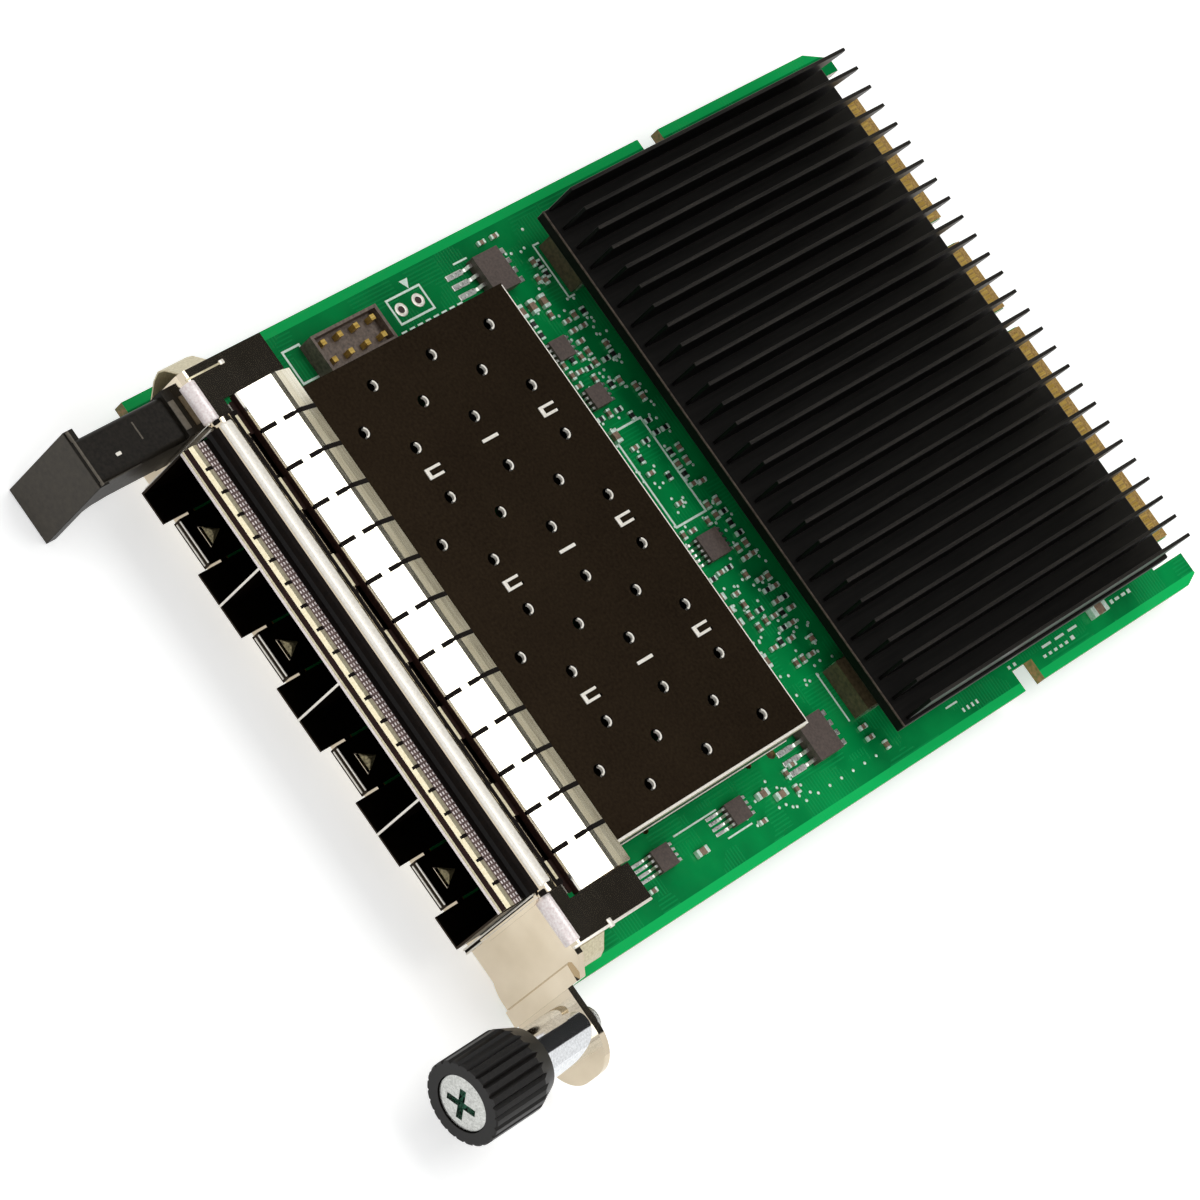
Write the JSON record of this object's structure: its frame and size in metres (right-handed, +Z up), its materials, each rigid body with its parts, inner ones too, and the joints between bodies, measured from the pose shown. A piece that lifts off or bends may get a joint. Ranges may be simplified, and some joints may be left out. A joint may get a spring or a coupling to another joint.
{
  "type": "ethernet adapter card",
  "caption": "Slide-in network adapter card with a row of module ports, a finned heatsink, an edge connector, a pull tab and a captive thumbscrew.",
  "frame": {"origin": "middle of the board's front edge, on its component face, which is where the card starts to enter its pair of guides", "axes": "+X across the card from the pull tab's side towards the thumbscrew, +Y from the faceplate towards the edge connector, which is the way the card slides in, +Z up from the component face"},
  "size_m": [0.0852, 0.1331, 0.0174],
  "materials": {
    "board": "green solder mask over glass-fibre laminate",
    "gold": "gold plated",
    "nickel_sheet": "bright nickel-plated steel sheet",
    "spring_strip": "bright tin-plated spring strip",
    "cage_sheet": "dull nickel-silver sheet",
    "bright_steel": "plated steel",
    "chrome": "polished",
    "black_anodised": "black anodised",
    "black_foam": "conductive foam",
    "grey_pad": "soft thermal pad",
    "chip_substrate": "laminate",
    "lid_metal": "nickel-plated lid",
    "black_plastic": "moulded",
    "connector_plastic": "moulded",
    "chip_plastic": "moulded epoxy",
    "solder": "tinned",
    "capacitor_body": "moulded resin",
    "ceramic_body": "fired ceramic"
  },
  "bodies": {
    "card": {"circuit_board": "board", "window_seal": "black_foam", "edge_contacts_top": "gold", "edge_contacts_bottom": "gold", "faceplate": "nickel_sheet", "top_finger_strip": "spring_strip", "bottom_finger_strip": "spring_strip", "side_clip_left": "spring_strip", "side_clip_right": "spring_strip", "faceplate_screws": "bright_steel", "faceplate_nuts": "bright_steel", "cage_body": "cage_sheet", "cage_cover": "cage_sheet", "cage_front_springs": "spring_strip", "port_connectors": "connector_plastic", "port_contacts": "gold", "heatsink": "black_anodised", "heatsink_screws": "bright_steel", "controller_chip": "chip_substrate", "controller_lid": "lid_metal", "thermal_pad": "grey_pad", "pull_tab": "black_plastic", "pull_tab_screws": "bright_steel", "thumbscrew_barrel": "chrome", "thumbscrew_spring": "bright_steel", "header_body": "connector_plastic", "header_pins": "gold", "power_chips": "chip_plastic", "power_chip_leads": "solder", "small_chips": "chip_plastic", "small_chip_leads": "solder", "box_capacitors": "capacitor_body", "capacitor_terminals": "solder", "small_passives": "ceramic_body"},
    "thumbscrew_slider": {"thrust_washer": "bright_steel"},
    "thumbscrew_turning": {"thumbscrew_knob": "black_plastic", "thumbscrew_screw": "bright_steel", "retaining_ring": "bright_steel"}
  },
  "joints": [
    {"name": "thumbscrew_slide", "type": "slide", "parent": "card", "child": "thumbscrew_slider", "axis": [0, 1, 0], "range_m": [0, 0.0045], "stiffness_N_per_m": 400, "springref_m": -0.004, "deforming": ["thumbscrew_spring"]},
    {"name": "thumbscrew_turn", "type": "hinge", "parent": "thumbscrew_slider", "child": "thumbscrew_turning", "pos_m": [0.042, -0.013, 0.0038], "axis": [0, 1, 0], "continuous": true}
  ]
}
